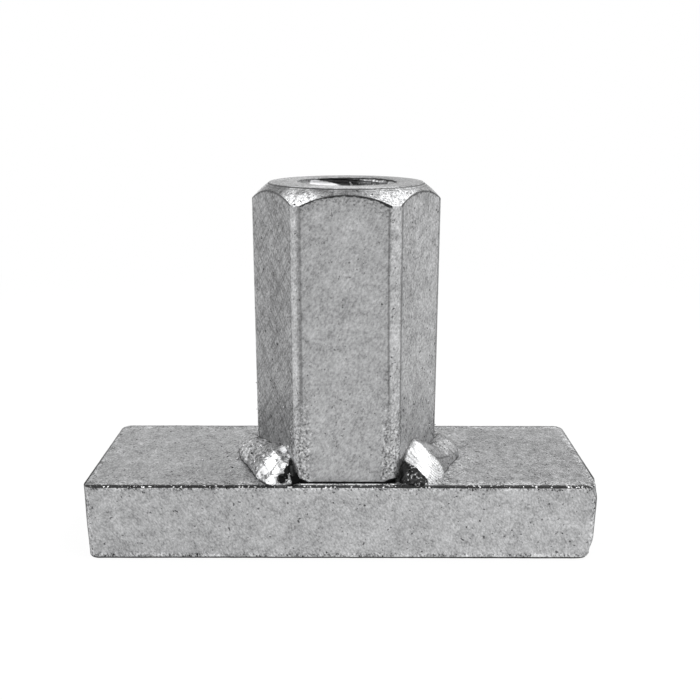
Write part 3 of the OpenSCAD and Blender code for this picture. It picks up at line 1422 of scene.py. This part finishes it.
def left_zones(place):
    distances = along, out, up = bead_distances(place, -1)
    ragged = place.noise(0.5, detail=3, roughness=0.6)
    pitted = place.noise(0.45, detail=2).ramp(0.06, 0.15)
    front = (along + ragged * 0.8).ramp(-2.0, -2.3)
    facet_highlights = spots_at(distances, left_facet_highlights, ragged * 1.3)
    flaws = place.noise(0.35, detail=3, roughness=0.6).ramp(0.11, 0.16)
    shaded_hollows = spots_at(distances, left_shaded_hollows, ragged * 0.9)
    shade_reach = along.ramp(-3.3, -4.0).between(0.06, 0.5)
    tail_shadow = (along + ragged * 0.4).ramp(-4.48, -4.60) * (out + ragged * 0.4).ramp(0.75, 0.60)
    crevice_shade = (up + ragged * 0.2).ramp(0.20, 0.08)
    crevice_shade = crevice_shade.larger((out + ragged * 0.2 - shade_reach).ramp(0.04, -0.03))
    return [
        (front, 0.40, 0.30, 2.0),
        (pitted * 0.7, 0.10, 0.5, 1.0),
        # Painted shade along the bead's edges against the bar and the nut.
        (crevice_shade, 0.08, 0.5, 1.0),
        # Painted highlights on the facets.
        (facet_highlights, 0.85, 0.34, 0.8, 0.5),
        (flaws, 0.10, 0.5, 1.0, 1.0),
        # Painted shade in the crater's hollows, and painted shadow on the tail by the nut's corner.
        (shaded_hollows, 0.02, 0.7, 1.0, 1.0),
        (tail_shadow, 0.012, 0.8, 1.0, 1.0),
    ]


weld_left_steel = plated("plated_weld_left", 0.44, left_zones, mottle=2.4, relief=2.5)
print("left bead's material with", len(weld_left_steel.node_tree.nodes), "nodes")

# %% [markdown]
# The last puddle of the right bead froze into a smooth fan with fine ripples round one centre, and its
# brightness is a painted highlight. Its end, where the arc was struck, is a burnt crust, black partly from
# soot and partly from painted shadow under the overhang. A crack runs through the older metal behind it,
# and painted shade lies in its hollows and along its edges against the bar and the nut.

# %% Right bead's material
RIPPLE_CENTRE_ALONG, RIPPLE_CENTRE_UP = -0.75, 1.65
RIPPLE_RATE = 24
FAN_END = -1.05
CRUST_FADE = 0.12
CRACK_ALONG, CRACK_OUT = 1.2, 2.55
right_shaded_hollows = [(1.60, 0.50, 2.10, 0.40), (2.30, 0.10, 1.75, 0.45)]


def right_zones(place):
    distances = along, out, up = bead_distances(place, 1)
    ragged = place.noise(0.5, detail=3, roughness=0.6)
    fan_end = FAN_END + (out - 1.9).larger(0) * 0.65
    fan = (along - fan_end + ragged * 0.8).ramp(0.15, -0.15) * (out + ragged * 0.1).ramp(0.22, 0.32)
    away_along = along - RIPPLE_CENTRE_ALONG
    away_up = up - RIPPLE_CENTRE_UP
    from_centre = (away_along * away_along + away_up * away_up).root()
    ripples = ((from_centre + ragged * 0.4) * RIPPLE_RATE).sine()
    flaws = place.noise(0.35, detail=3, roughness=0.6).ramp(0.10, 0.16)
    crust = (along + ragged * 0.2).ramp(CRUST_END, CRUST_END - CRUST_FADE)
    crust_specks = crust * place.noise(0.30, detail=2).ramp(0.06, 0.16) * out.ramp(0.7, 1.0)
    crack = (out - CRACK_OUT + ragged * 0.3).size().ramp(0.11, 0.03)
    crack = crack * (along - CRACK_ALONG).size().ramp(1.7, 1.4)
    shaded_hollows = spots_at(distances, right_shaded_hollows, ragged * 0.4)
    crevice_shade = (up + ragged * 0.2).ramp(0.20, 0.08).larger((out + ragged * 0.1).ramp(0.12, 0.04))
    return [
        # Painted shade: a dark line along the bead's edges against the bar and the nut, and in its hollows.
        (crevice_shade, 0.14, 0.5, 1.0),
        (crack, 0.12, 0.5, 1.0),
        (shaded_hollows, 0.05, 0.6, 1.0),
        # The fan's brightness is a painted highlight; its ripples and flaws are the metal's own.
        (fan, 0.78, 0.36, 1.0, 0.5),
        (fan * ripples.ramp(-0.2, 1.0), 0.45, 0.36, 1.0),
        (fan * flaws * 0.8, 0.35, 0.4, 1.0),
        # The crust is black partly from soot and partly from painted shadow under the overhang.
        (crust, 0.03, 0.5, 2.0, 1.0),
        (crust_specks, 0.35, 0.4, 1.5),
    ]


weld_right_steel = plated("plated_weld_right", 0.27, right_zones, roughness=0.46, mottle=2.0, relief=2)
spatter_steel = plated("plated_spatter", 0.5, roughness=0.3)
print("materials", [material.name for material in bpy.data.materials])

# %% Hand all pieces over
hand_over(nut, nut_steel, "long_nut")
hand_over(bar, bar_steel, "flat_bar", crease=40)
hand_over(bead_left, weld_left_steel, "weld_left", crease=60)
hand_over(bead_right, weld_right_steel, "weld_right", crease=60)
hand_over(spatter, spatter_steel)
